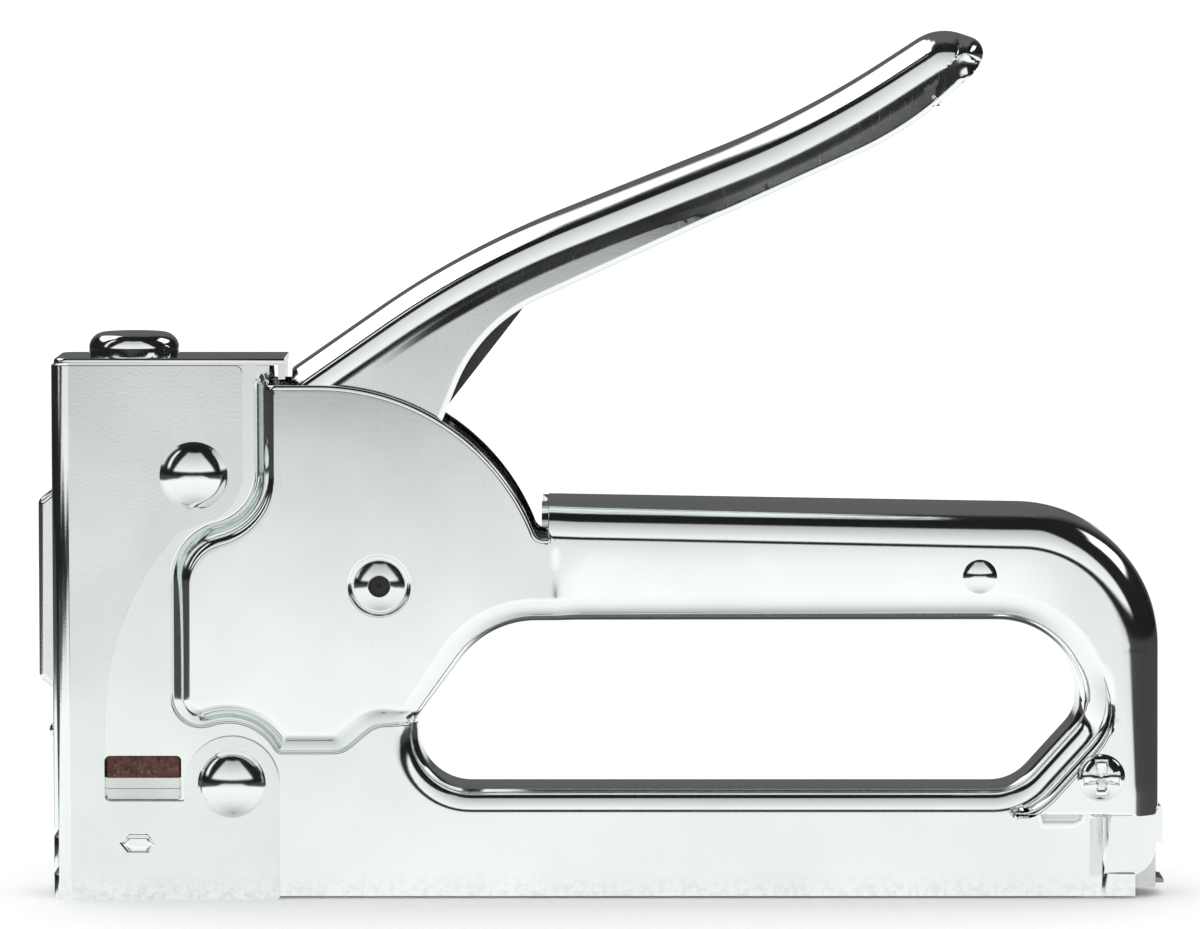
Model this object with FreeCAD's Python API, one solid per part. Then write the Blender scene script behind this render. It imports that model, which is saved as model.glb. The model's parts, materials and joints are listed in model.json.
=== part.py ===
"""Hand staple gun made of stamped, chromed steel: two body shells riveted round a spring-driven hammer,
a squeeze lever, a nose cover and a staple magazine that pulls out at the rear.

Drawing frame: U runs back from the nose's front face, H runs up from the foot of the nose, and Y is the
tool's width with the left side negative. The row frame's X is U less MIDDLE, so its origin is on the floor
under the middle of the tool. Every length is in millimetres.
"""
import FreeCAD, Part
import math
import os

Vector = FreeCAD.Vector

# ---- overall ---------------------------------------------------------------------------------------------
NOSE_BOSS = 2.1            # how far the boss on the nose stands in front of the nose face
TONGUE_END = 157.6         # U of the latch tongue's tip, the rearmost point
MIDDLE = (TONGUE_END - NOSE_BOSS) / 2
REAR = 156.6               # U of the shells' rear wall
FOOT = 0.4                 # the shells stop this far above the foot of the nose cover

# ---- sheet and half widths -------------------------------------------------------------------------------
SHEET = 1.0                # shell sheet
COVER_SHEET = 0.9
FIT = 0.03                 # gap between pieces that lie on each other
CHANNEL = 5.75             # inner half width where the staples run
FLAT = CHANNEL + SHEET     # outer half width of the shells' flat parts
BULGE = 10.4               # outer half width of the body and the grip
BEAD = FLAT                # outer half width of the rounded rim under the hand opening
SEAM = 0.02                # each shell's rim stops this far from the middle plane
COVER_IN = FLAT + FIT
COVER_OUT = COVER_IN + COVER_SHEET
DRAW_RADIUS = 3.0          # outer rounding of the drawn body
BEAD_RADIUS = 1.5
NOSE_RADIUS = 2.6          # outer bend of the nose cover

# ---- heights ---------------------------------------------------------------------------------------------
CAP_TOP = 76.8
CAP_SHEET = 1.0
CAP_BOTTOM = CAP_TOP - CAP_SHEET
NOSE_TOP = CAP_BOTTOM - 0.1
BODY_TOP = 73.1
BEAD_FOOT = 12.2
OPENING_TOP = 39.6
OPENING_FOOT = 15.8
OPENING_REAR = 145.3
GRIP_START = 70.2

# ---- fastener places (U, H) and sizes --------------------------------------------------------------------
UPPER_RIVET = (20.2, 60.2)
LOWER_RIVET = (25.4, 16.5)
DOME_RADIUS = 4.8
DOME_HEIGHT = 2.4
RIVET_SHANK = 2.0
PIVOT = (46.4, 44.9)
PIVOT_SHANK = 3.0
PIVOT_HEAD = 3.6
PIVOT_DIMPLE = 4.35
GRIP_RIVET = (130.9, 46.2)
GRIP_RIVET_HEAD = 2.4
GRIP_RIVET_SHANK = 1.5
REAR_SCREW = (148.1, 17.75)
SCREW_HEAD = 3.4
SCREW_SHANK = 2.0
SCREW_HEIGHT = 1.9
RUNNING = 0.05             # radial clearance of a turning fit

# ---- hammer and spring -----------------------------------------------------------------------------------
SPRING_U = 11.4
SPRING_MEAN = 4.2          # mean coil radius
SPRING_WIRE = 1.6
SPRING_TURNS = 8
HAMMER_FOOT = 20.4
HAMMER_TOP = 43.0
HAMMER_BACK = 16.9
HOOK_BACK = 22.0
HOOK_FOOT = 40.0
ARM_REACH = 27.0           # pivot to the arm's nose
ARM_REST = 15.0            # degrees that the arm's nose hangs below the pivot at rest
NOSE_RADIUS_ARM = 2.0

# ---- staples and magazine --------------------------------------------------------------------------------
CROWN_HALF = 5.55
STAPLE_WIRE = 0.5
STAPLE_PITCH = 0.76
STAPLES = 70
STRIP_START = 2.8
STRIP_END = STRIP_START + STAPLES * STAPLE_PITCH
RAIL_HALF = 4.9
RAIL_SHEET = 0.9
RAIL_TOP = 8.6
RAIL_FOOT = 1.4
RAIL_START = 2.85
RAIL_END = 156.3
STAPLE_TOP = RAIL_TOP + 0.05 + STAPLE_WIRE
STAPLE_FOOT = STAPLE_TOP - 8.0
TRACK_ROOF = 9.6
ROD_H = 5.4
ROD_RADIUS = 1.1
PUSHER_START = STRIP_END + 0.3
PUSHER_END = PUSHER_START + 9.0
SEAT_START = 128.5
SEAT_END = 134.5
PULL_START = 140.0
LATCH_RIVET = 133.0


# ---- helpers ---------------------------------------------------------------------------------------------
def at(u, y, h):
    """A point of the drawing frame in the row frame."""
    return Vector(u - MIDDLE, y, h)


def turn_side(before, corner, after):
    """Positive where the outline turns left at a corner."""
    a = (corner[0] - before[0], corner[1] - before[1])
    b = (after[0] - corner[0], after[1] - corner[1])
    return a[0] * b[1] - a[1] * b[0]


def wire(corners):
    """A closed outline in the middle plane from (U, H, radius) corners, each rounded by its own radius."""
    count = len(corners)
    stretches = []
    for i, corner in enumerate(corners):
        here = Vector(corner[0], 0, corner[1])
        to_last = Vector(corners[i - 1][0], 0, corners[i - 1][1]) - here
        to_next = Vector(corners[(i + 1) % count][0], 0, corners[(i + 1) % count][1]) - here
        to_last.normalize()
        to_next.normalize()
        half = to_last.getAngle(to_next) / 2
        if corner[2] < 1e-6 or abs(half - math.pi / 2) < 1e-6:
            stretches.append((here, None, here))
            continue
        run = corner[2] / math.tan(half)
        inward = to_last + to_next
        inward.normalize()
        middle = here + inward * (corner[2] / math.sin(half) - corner[2])
        stretches.append((here + to_last * run, middle, here + to_next * run))
    edges = []
    for i, (start, middle, end) in enumerate(stretches):
        if middle is not None:
            edges.append(Part.Arc(start, middle, end).toShape())
        following = stretches[(i + 1) % count][0]
        side = Vector(corners[(i + 1) % count][0] - corners[i][0], 0, corners[(i + 1) % count][1] - corners[i][1])
        if (following - end).dot(side) < -1e-6:
            raise ValueError("two corners overlap near U %.1f, H %.1f" % (end.x, end.z))
        if end.distanceToPoint(following) > 1e-5:
            edges.append(Part.LineSegment(end, following).toShape())
    closed = Part.Wire(Part.__sortEdges__(edges))
    closed.translate(Vector(-MIDDLE, 0, 0))
    return closed


def prism(corners, near, far):
    """The outline drawn out along Y from near to far."""
    face = Part.Face(wire(corners))
    face.translate(Vector(0, near, 0))
    return face.extrude(Vector(0, far - near, 0))


def grown(corners, distance):
    """The outline moved outward by a distance, or inward where it is negative, with its radii kept in step."""
    count = len(corners)
    area = sum(
        corners[i - 1][0] * corners[i][1] - corners[i][0] * corners[i - 1][1] for i in range(count)
    )
    way = 1 if area > 0 else -1
    lines = []
    for i, start in enumerate(corners):
        end = corners[(i + 1) % count]
        du, dh = end[0] - start[0], end[1] - start[1]
        length = math.hypot(du, dh)
        nu, nh = way * dh / length, -way * du / length
        lines.append((start[0] + nu * distance, start[1] + nh * distance, du, dh))
    moved = []
    for i, corner in enumerate(corners):
        u1, h1, a1, b1 = lines[i - 1]
        u2, h2, a2, b2 = lines[i]
        cross = a1 * b2 - b1 * a2
        share = ((u2 - u1) * b2 - (h2 - h1) * a2) / cross
        outside = turn_side(corners[i - 1], corner, corners[(i + 1) % count]) * way > 0
        radius = corner[2] + (distance if outside else -distance) if corner[2] else 0
        moved.append((u1 + a1 * share, h1 + b1 * share, max(radius, 0)))
    return moved


def block(u, y, h):
    """A box from (low, high) pairs along U, Y and H."""
    return Part.makeBox(u[1] - u[0], y[1] - y[0], h[1] - h[0], at(u[0], y[0], h[0]))


def cross_pin(place, radius, near, far):
    """A cylinder along Y at a (U, H) place."""
    return Part.makeCylinder(radius, far - near, at(place[0], near, place[1]), Vector(0, 1, 0))


def tube(place, outer, inner, half):
    """A sleeve along Y, the same length each side of the middle plane."""
    return cross_pin(place, outer, -half, half).cut(cross_pin(place, inner, -half, half))


def mirrored(shape):
    """The same shape on the other side of the middle plane."""
    return shape.mirror(Vector(0, 0, 0), Vector(0, 1, 0))


def joined(shapes):
    """One solid from several that meet."""
    return shapes[0].fuse(shapes[1:]).removeSplitter()


def dome(place, base, radius, height, side):
    """A round rivet head on a cross pin: side is -1 on the left and 1 on the right."""
    sphere = (radius**2 + height**2) / (2 * height)
    ball = Part.makeSphere(sphere, at(place[0], side * (base - sphere + height), place[1]))
    near, far = sorted((side * base, side * (base + height + 1)))
    return ball.common(cross_pin(place, radius + 1, near, far))


def edges_where(shape, test):
    """The edges whose middle point passes a test of (U, Y, H)."""
    found = []
    for edge in shape.Edges:
        middle = edge.valueAt((edge.FirstParameter + edge.LastParameter) / 2)
        if test(middle.x + MIDDLE, middle.y, middle.z):
            found.append(edge)
    return found


def coil(radius, wire_size, pitch, turns, start, direction):
    """A round wire wound into a helix from start along direction."""
    helix = Part.makeHelix(pitch, pitch * turns, radius)
    section = Part.Wire(Part.makeCircle(wire_size / 2, Vector(radius, 0, 0), Vector(0, 1, 0)))
    spring = Part.Wire(helix.Edges).makePipeShell([section], True, True)
    spring.Placement = FreeCAD.Placement(start, FreeCAD.Rotation(Vector(0, 0, 1), direction))
    return spring


def save(node, *solids):
    """Write one sub-part."""
    shape = Part.Compound([s for solid in solids for s in solid.Solids])
    shape.exportStep(os.path.join("parts", node + ".step"))


# ---- outlines --------------------------------------------------------------------------------------------
OPENING = [
    (62.0, OPENING_TOP, 13.0), (51.6, 25.8, 5.0), (51.8, OPENING_FOOT, 7.5),
    (136.2, OPENING_FOOT, 7.0), (OPENING_REAR, 25.9, 5.4), (OPENING_REAR, OPENING_TOP, 11.5),
]
BODY = [
    (28.9, BODY_TOP, 0), (59.9, BODY_TOP, 32.7), (68.56, 51.5, 1.4), (GRIP_START, 51.5, 0),
    (GRIP_START, 56.8, 0), (REAR, 55.4, 20.0), (REAR, BEAD_FOOT, 0), (143.0, BEAD_FOOT, 0),
    (138.9, 18.8, 0), (OPENING_REAR, 25.9, 5.4), (OPENING_REAR, OPENING_TOP, 11.5),
    (62.0, OPENING_TOP, 13.0), (51.3, 25.4, 0), (45.5, 24.8, 4.0), (41.0, 21.0, 3.6), (31.9, 21.0, 0),
    (28.4, 26.95, 7.7), (17.0, 23.2, 4.0), (17.0, 51.7, 8.4), (28.9, 54.85, 7.2),
]
COVER_SIDE = [
    (0, 0, 0), (0, NOSE_TOP, 0), (27.0, NOSE_TOP, 1.0), (27.0, 55.3, 6.8), (18.2, 52.4, 3.0),
    (7.4, 39.5, 42.0), (7.4, 14.0, 0.7), (18.7, 14.0, 0.3), (18.7, 23.2, 6.69), (32.1, 23.2, 6.69),
    (32.1, 0, 0.4),
]
WINDOW = [(7.4, 14.1, 0.7), (7.4, 20.4, 0.7), (18.2, 20.4, 0.7), (18.2, 14.1, 0.7)]
HEX_HOLE = [(9.5, 8.05, 0), (10.6, 9.4, 0), (13.6, 9.4, 0), (14.7, 8.05, 0), (13.6, 6.7, 0), (10.6, 6.7, 0)]
LEVER = [
    (34.0, 73.4, 1.2), (33.9, 75.0, 1.2), (58.2, 91.9, 130.0), (106.4, 111.15, 135.0), (125.2, 123.4, 7.0),
    (133.0, 120.7, 2.4), (130.3, 117.2, 1.2), (120.4, 108.5, 50.0), (60.6, 81.3, 22.0), (53.0, 62.5, 6.0),
    (54.4, 36.9, 7.9), (38.4, 36.9, 7.9),
]


# ---- body shells -----------------------------------------------------------------------------------------
def shell_blank():
    """The left shell before its holes are pierced: drawn body and grip, bead, and flat nose and channel wall."""
    drawn = prism(BODY, -BULGE, -SEAM)
    rounded = edges_where(
        drawn, lambda u, y, h: y < 0.01 - BULGE and not on_mouth(u, h)
    )
    drawn = drawn.makeFillet(DRAW_RADIUS, rounded)
    bead = prism(grown(OPENING, OPENING_FOOT - BEAD_FOOT), -BEAD, -SEAM).cut(prism(OPENING, -BEAD, 0))
    bead = bead.makeFillet(BEAD_RADIUS, edges_where(bead, lambda u, y, h: y < 0.01 - BEAD))
    nose = block((2.4, 30.9), (-FLAT, -CHANNEL), (FOOT, NOSE_TOP))
    channel = block((2.4, 153.3), (-FLAT, -CHANNEL), (FOOT, OPENING_FOOT - BEAD_RADIUS))
    web = block((30.0, 53.5), (-FLAT, -CHANNEL), (14.0, 25.4))
    blank = joined([drawn, bead, nose, channel, web]).cut(prism(OPENING, -FLAT, 0))
    return blank.cut(shell_hollow())


def on_mouth(u, h):
    """True on the arched edge that stays open for the lever."""
    return h > 51.4 and 28.95 < u < GRIP_START - 0.05


def shell_hollow():
    """What is taken out of the left shell: the drawn body's inside, the bead's inside, the mouth and the channel."""
    inside = prism(grown(BODY, -SHEET), SHEET - BULGE, 1)
    edges = edges_where(inside, lambda u, y, h: y < 0.01 + SHEET - BULGE and h > 14.5)
    inside = inside.makeFillet(DRAW_RADIUS - SHEET, [e for e in edges if e.Length > 0.5])
    width = OPENING_FOOT - BEAD_FOOT
    ring = prism(grown(OPENING, width - SHEET), SHEET - BEAD, 1).cut(prism(grown(OPENING, SHEET), -BULGE, 1))
    mouth = prism(
        [(29.9, 70.0, 0), (29.9, 80.0, 0), (61.3, 75.6, 34.0), (70.1, 52.6, 0), (66.4, 52.6, 0),
         (58.6, 70.5, 29.0)], SHEET - BULGE, 1)
    core = prism(
        [(0, -1, 0), (0, 90, 0), (66.0, 90, 0), (66.0, 14.7, 0), (160.0, 14.7, 0), (160.0, -1, 0)], -CHANNEL, 1
    ).cut(prism(grown(OPENING, SHEET), -BULGE, 1))
    pull_notch = block((148.9, 160.0), (-FLAT - 1, 1), (3.5, 13.39))
    return joined([inside, ring]).fuse([mouth, core, pull_notch])


def shell():
    """The left shell, with its holes, sight window and locating pip."""
    made = shell_blank()
    for place, radius in (
        (UPPER_RIVET, RIVET_SHANK), (LOWER_RIVET, RIVET_SHANK), (PIVOT, PIVOT_SHANK),
        (GRIP_RIVET, GRIP_RIVET_SHANK), (REAR_SCREW, SCREW_SHANK),
    ):
        made = made.cut(cross_pin(place, radius + FIT, -BULGE - 1, -CHANNEL + 0.1))
    made = made.cut(cross_pin(PIVOT, PIVOT_DIMPLE, -BULGE - 1, -BULGE + 0.35))
    made = made.cut(prism(WINDOW, -FLAT - 1, -CHANNEL + 1))
    pip = prism(grown(HEX_HOLE, -0.15), -FLAT - 0.55, -FLAT + 0.2)
    return joined([made, pip])


# ---- nose ------------------------------------------------------------------------------------------------
def nose_cover():
    """The U-shaped cover that wraps the nose, with its front boss, front slots and side cut-outs."""
    side = prism(COVER_SIDE, -COVER_OUT, COVER_OUT)
    side = side.makeFillet(NOSE_RADIUS, edges_where(side, lambda u, y, h: abs(u) < 0.01 and abs(y) > COVER_OUT - 0.01))
    inside = block((COVER_SHEET, 40), (-COVER_IN, COVER_IN), (-1, 80))
    inside = inside.makeFillet(
        NOSE_RADIUS - COVER_SHEET,
        edges_where(inside, lambda u, y, h: abs(u - COVER_SHEET) < 0.01 and abs(abs(y) - COVER_IN) < 0.01),
    )
    boss = prism(
        [(1.0, 28.7, 0), (-NOSE_BOSS, 31.1, 1.2), (-NOSE_BOSS, 56.4, 1.2), (1.0, 58.8, 0)], -3.6, 3.6)
    boss = boss.makeFillet(
        0.9, edges_where(boss, lambda u, y, h: u < -1.0 and abs(y) > 3.59 and 33 < h < 55))
    hollow = prism([(2.0, 30.0, 0), (0.9 - NOSE_BOSS, 32.0, 0.6), (0.9 - NOSE_BOSS, 55.5, 0.6), (2.0, 57.5, 0)], -2.7, 2.7)
    cover = side.cut(inside).fuse(boss).cut(hollow)
    for low in (8.7, 3.4):
        cover = cover.cut(block((-1, 0.86), (-8, 8), (low, low + 1.2)))
    for place in (UPPER_RIVET, LOWER_RIVET):
        cover = cover.cut(cross_pin(place, RIVET_SHANK + FIT, -9, 9))
    return cover.cut(prism(HEX_HOLE, -9, 9)).cut(front_rivet_hole())


def front_rivet_hole():
    """The hole for the small rivet in the nose's front wall."""
    return Part.makeCylinder(0.8, 4, at(-1, 0, 23.4), Vector(1, 0, 0))


def nose_guide():
    """The flat plate behind the nose's front wall that the driver blade slides on."""
    return block((0.95, 1.75), (-5.4, 5.4), (0.3, 26.0)).cut(front_rivet_hole())


def front_rivet():
    """The small round-headed rivet that holds the guide plate to the nose cover."""
    head = Part.makeSphere(1.1, at(0.15, 0, 23.4)).common(block((-2, -0.02), (-2, 2), (20, 27)))
    shank = Part.makeCylinder(0.75, 1.77, at(-0.02, 0, 23.4), Vector(1, 0, 0))
    return joined([head, shank])


def top_cap():
    """The strap over the nose: it closes the top, seats the main spring in its dome and stops the lever."""
    plate = block((0.4, 33.0), (-COVER_OUT, COVER_OUT), (CAP_BOTTOM, CAP_TOP))
    plate = plate.makeFillet(2.2, edges_where(plate, lambda u, y, h: u < 0.5 and abs(y) > 7 and CAP_BOTTOM < h < CAP_TOP))
    plate = plate.makeFillet(0.6, edges_where(plate, lambda u, y, h: h > CAP_TOP - 0.01 and u < 32))
    lip = block((32.0, 33.0), (-4.6, 4.6), (73.6, CAP_TOP))
    flange = block((0.95, 1.75), (-5.0, 5.0), (68.0, CAP_BOTTOM + 0.2))
    ears = [block((27.2, 29.0), sorted((s * COVER_IN, s * COVER_OUT)), (73.5, CAP_BOTTOM + 0.2)) for s in (-1, 1)]
    centre = at(SPRING_U, 0, CAP_TOP - 0.5)
    raised = Part.makeCylinder(6.4, 3.8, centre)
    raised = raised.makeFillet(2.3, [raised.Edges[i] for i in top_edges(raised)])
    pocket = Part.makeCylinder(5.4, 4.4, at(SPRING_U, 0, CAP_BOTTOM - 1))
    pocket = pocket.makeFillet(1.3, [pocket.Edges[i] for i in top_edges(pocket)])
    return joined([plate, lip, flange, raised] + ears).cut(pocket)


def top_edges(shape):
    """Numbers of the edges that lie in a shape's highest plane."""
    top = shape.BoundBox.ZMax
    return [i for i, e in enumerate(shape.Edges) if e.BoundBox.ZMin > top - 1e-4]


# ---- fasteners -------------------------------------------------------------------------------------------
def domed_rivet(place, base, head, height, shank):
    """A cross rivet with a round head on each side."""
    body = cross_pin(place, shank, -base, base)
    return joined([body, dome(place, base, head, height, -1), dome(place, base, head, height, 1)])


def pivot_pin():
    """The lever's pivot: a hollow pin with rounded ends that sit in dimples of the shells."""
    base = BULGE - 0.33
    pin = domed_rivet(PIVOT, base, PIVOT_HEAD, 1.35, PIVOT_SHANK)
    return pin.cut(cross_pin(PIVOT, 1.55, -20, -base + 0.9)).cut(cross_pin(PIVOT, 1.55, base - 0.9, 20))


def rear_screw():
    """The rear machine screw, with a round head on the left that has a cross recess."""
    head = dome(REAR_SCREW, BULGE, SCREW_HEAD, SCREW_HEIGHT, -1)
    shank = cross_pin(REAR_SCREW, SCREW_SHANK, -BULGE, BULGE + 1.7)
    top = -BULGE - SCREW_HEIGHT
    u, h = REAR_SCREW
    slot_h = block((u - 0.45, u + 0.45), (top - 1, top + 1.3), (h - 2.3, h + 2.3))
    slot_u = block((u - 2.3, u + 2.3), (top - 1, top + 1.3), (h - 0.45, h + 0.45))
    return joined([head, shank]).cut(slot_h).cut(slot_u)


def rear_nut():
    """The hexagon nut on the right-hand end of the rear screw."""
    across = 3.5
    corners = []
    for k in range(6):
        angle = math.radians(60 * k + 30)
        reach = across / math.cos(math.radians(30))
        corners.append((REAR_SCREW[0] + reach * math.cos(angle), REAR_SCREW[1] + reach * math.sin(angle), 0))
    nut = prism(corners, BULGE, BULGE + SCREW_HEIGHT - 0.05)
    ball = Part.makeSphere(5.6, at(REAR_SCREW[0], BULGE + SCREW_HEIGHT - 5.1, REAR_SCREW[1]))
    return nut.common(ball).cut(cross_pin(REAR_SCREW, SCREW_SHANK, 0, 20))


# ---- lever -----------------------------------------------------------------------------------------------
LEVER_HALF = 8.0
LEVER_SHEET = 1.2
LEVER_RADIUS = 5.6


def lever_shell():
    """The squeeze lever: a drawn channel with a round back, open below, and two cheeks down to the pivot."""
    sharp = [(c[0], c[1], c[2] if c[2] > 3 else 0) for c in LEVER]
    channel = prism(sharp, -LEVER_HALF, LEVER_HALF)
    back = lambda u, y, h: abs(y) > LEVER_HALF - 0.01 and h > lever_back(u) - 1.2 and u > 36 and h > 74
    tip = lambda u, h: u > 131 and h < 120
    channel = channel.makeFillet(LEVER_RADIUS, [
        e for e in edges_where(channel, back) if not tip(e.CenterOfMass.x + MIDDLE, e.CenterOfMass.z)])
    channel = channel.common(prism(LEVER, -LEVER_HALF, LEVER_HALF))
    inner = grown(LEVER, -LEVER_SHEET)[1:5]
    open_side = [(131.5, 121.3, 0), (126.0, 105.0, 0), (60.6, 60.0, 0), (60.6, 30.0, 0), (35.1, 30.0, 0)]
    end = [(130.2, 125.0, 0), (126.6, 112.0, 0), (126.0, 100.0, 0), (140.0, 100.0, 0), (140.0, 125.0, 0)]
    half = LEVER_HALF - LEVER_SHEET
    hollow = prism(inner + open_side, -half, half)
    within = lambda u, y, h: abs(y) > half - 0.01 and 36 < u < 130 and h > lever_back(u) - 3.2
    hollow = hollow.makeFillet(LEVER_RADIUS - LEVER_SHEET, edges_where(hollow, within))
    hollow = hollow.cut(prism(end, -10, 10)).fuse(block((30, 36), (-half, half), (30, 72.6)))
    return channel.cut(hollow).cut(cross_pin(PIVOT, PIVOT_SHANK + RUNNING, -20, 20))


def lever_back(u):
    """Height of the lever's back above a place along the tool, to tell its top edges from its lower ones."""
    if u < 58.2:
        return 75.0 + (u - 33.9) * (91.9 - 75.0) / (58.2 - 33.9)
    if u < 106.4:
        return 91.9 + (u - 58.2) * (111.15 - 91.9) / (106.4 - 58.2)
    return min(111.15 + (u - 106.4) * (123.4 - 111.15) / (125.2 - 106.4), 119.0)


def arm_nose():
    """Centre of the arm's nose, where it lifts the hammer."""
    angle = math.radians(180 + ARM_REST)
    return PIVOT[0] + ARM_REACH * math.cos(angle), PIVOT[1] + ARM_REACH * math.sin(angle)


def lever_arm():
    """The dark steel arm inside the lever: two cheeks that lift the hammer, joined by a web behind them."""
    u, h = arm_nose()
    cheek = [
        (u - 2.0, h + 2.0, 1.9), (u + 1.9, h + 2.0, 0.7), (u + 3.0, h + 0.4, 0.7), (37.5, 51.0, 3.0),
        (41.5, 73.5, 4.0), (66.5, 92.2, 2.0), (69.6, 88.0, 1.5), (66.0, 82.9, 1.0), (54.6, 68.2, 3.0),
        (53.6, 37.7, 7.1), (40.0, 37.7, 7.1), (27.0, 34.8, 6.0), (u - 2.0, h - 2.0, 1.9),
    ]
    sides = [prism(cheek, s * 3.0, s * 4.5) for s in (-1, 1)]
    web = prism([(66.0, 82.9, 0), (54.6, 68.2, 0), (53.4, 69.1, 0), (64.8, 83.8, 0)], -4.5, 4.5)
    arm = joined(sides + [web])
    return arm.cut(cross_pin(PIVOT, 3.9 + FIT, -10, 10))


def return_spring():
    """The torsion spring round the lever's bush: one leg under the arm's web, the other on the opening's rim."""
    radius, size, pitch, turns = 5.1, 1.1, 1.3, 3.0
    wound = coil(radius, size, pitch, turns, at(PIVOT[0], -pitch * turns / 2, PIVOT[1]), Vector(0, 1, 0))
    half = pitch * turns / 2
    leg_up = rod_between(at(PIVOT[0] + 5.0, -half, PIVOT[1] + 1.2), at(55.9, -half, 66.5), size / 2)
    leg_down = rod_between(at(PIVOT[0] + 1.0, half, PIVOT[1] - 5.0), at(57.2, half, 36.6), size / 2)
    return Part.Compound([wound] + leg_up.Solids + leg_down.Solids)


def rod_between(start, end, radius):
    """A straight round rod from one point to another."""
    along = end - start
    return Part.makeCylinder(radius, along.Length, start, along)


# ---- hammer ----------------------------------------------------------------------------------------------
def hammer():
    """The striker block: the main spring drives it down, and the arm lifts it by the hook at its back."""
    outline = [
        (2.7, HAMMER_FOOT, 0.3), (2.7, HAMMER_TOP, 0.3), (HOOK_BACK, HAMMER_TOP, 0.8), (HOOK_BACK, HOOK_FOOT, 0.6),
        (HAMMER_BACK, HOOK_FOOT, 0.5), (HAMMER_BACK, HAMMER_FOOT, 1.5),
    ]
    body = prism(outline, -5.5, 5.5)
    lightening = prism([(6.2, 23.5, 1.5), (6.2, 36.5, 1.5), (13.6, 36.5, 1.5), (13.6, 23.5, 1.5)], -6, 6)
    return body.cut(lightening).cut(driver_rivet_holes())


def driver_rivet_holes():
    """Bores for the two rivets that hold the blade to the hammer."""
    return Part.Compound([Part.makeCylinder(0.93, 9, at(1, 0, h), Vector(1, 0, 0)) for h in (34.5, 39.0)])


def driver_blade():
    """The thin blade that drives one staple at a time."""
    blade = block((1.85, 2.67), (-5.5, 5.5), (0.5, 41.5))
    return blade.cut(driver_rivet_holes())


def driver_rivets():
    """Two rivets that hold the blade to the hammer; their heads travel in the nose boss."""
    made = []
    for h in (34.5, 39.0):
        head = Part.makeSphere(1.5, at(1.9, 0, h)).common(block((0.3, 1.84), (-2, 2), (h - 2, h + 2)))
        made.append(joined([head, Part.makeCylinder(0.9, 4.4, at(1.84, 0, h), Vector(1, 0, 0))]))
    return made


def bumper_slab(low, high, reach):
    """A layer under the hammer, with tabs that sit in the shells' sight windows."""
    middle = block((3.2, 21.9), (-5.7, 5.7), (low, high))
    return joined([middle, block((7.7, 17.9), (-reach, reach), (low, high))])


# ---- staples and magazine --------------------------------------------------------------------------------
def staple_strip():
    """A stick of glued staples astride the rail."""
    outer = block((STRIP_START, STRIP_END), (-CROWN_HALF, CROWN_HALF), (STAPLE_FOOT, STAPLE_TOP))
    inner_half = CROWN_HALF - STAPLE_WIRE
    return outer.cut(block((0, 90), (-inner_half, inner_half), (0, STAPLE_TOP - STAPLE_WIRE)))


def magazine_rail():
    """The channel that the staples sit astride, with a slot in its top for the pusher and a closed front end."""
    outer = block((RAIL_START, RAIL_END), (-RAIL_HALF, RAIL_HALF), (RAIL_FOOT, RAIL_TOP))
    inner = block((5.0, 200), (RAIL_SHEET - RAIL_HALF, RAIL_HALF - RAIL_SHEET), (0, RAIL_TOP - RAIL_SHEET))
    slot = block((8.0, 120.0), (-1.1, 1.1), (5, 10))
    return outer.cut(inner).cut(slot)


def pusher():
    """The follower that pushes the staples forward: a saddle over the rail and a block inside it on the rod."""
    saddle = block((PUSHER_START, PUSHER_END), (-5.45, 5.45), (RAIL_FOOT + 0.1, TRACK_ROOF - 0.2))
    half = RAIL_HALF + 0.08
    saddle = saddle.cut(block((0, 200), (-half, half), (0, RAIL_TOP + 0.08)))
    web = block((PUSHER_START + 1, PUSHER_END - 1), (-0.95, 0.95), (7.0, RAIL_TOP + 0.2))
    inner = block((PUSHER_START + 1, PUSHER_END - 1), (-3.85, 3.85), (2.7, 7.55))
    rod = Part.makeCylinder(ROD_RADIUS + RUNNING, 200, at(0, 0, ROD_H), Vector(1, 0, 0))
    return joined([saddle, web, inner]).cut(rod)


def pusher_spring():
    """The long spring on the rod behind the pusher."""
    start, end, size, turns = PUSHER_END - 1, SEAT_START, 0.6, 22
    length = end - start - size - 0.1
    return coil(2.0, size, length / turns, turns, at(start + size / 2 + 0.05, 0, ROD_H), Vector(1, 0, 0))


def guide_rod():
    """The rod that carries the pusher and its spring."""
    return Part.makeCylinder(ROD_RADIUS, SEAT_START - 5.0, at(5.0, 0, ROD_H), Vector(1, 0, 0))


def magazine_pull():
    """The U-shaped clip at the rail's rear end that is gripped to pull the magazine out."""
    cheek = [(PULL_START, RAIL_FOOT + 0.1, 1.0), (PULL_START, 13.1, 2.0), (157.2, 13.1, 0.5), (157.2, 7.9, 0),
             (156.3, 7.9, 0.2), (156.3, 3.4, 4.4), (150.5, 2.9, 0.5), (150.0, RAIL_FOOT + 0.1, 0.3)]
    outer = prism(cheek, -5.65, 5.65)
    return outer.cut(block((100, 156.4), (-4.95, 4.95), (0, 20)))


def rod_seat():
    """The block inside the rail that holds the rod's rear end and the spring."""
    half = RAIL_HALF - RAIL_SHEET
    seat = block((SEAT_START, SEAT_END), (-half, half), (2.55, RAIL_TOP - RAIL_SHEET))
    for y in (-1.8, 1.8):
        seat = seat.cut(Part.makeCylinder(0.7, 2.3, at(LATCH_RIVET, y, 1.5)))
    return seat


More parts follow.
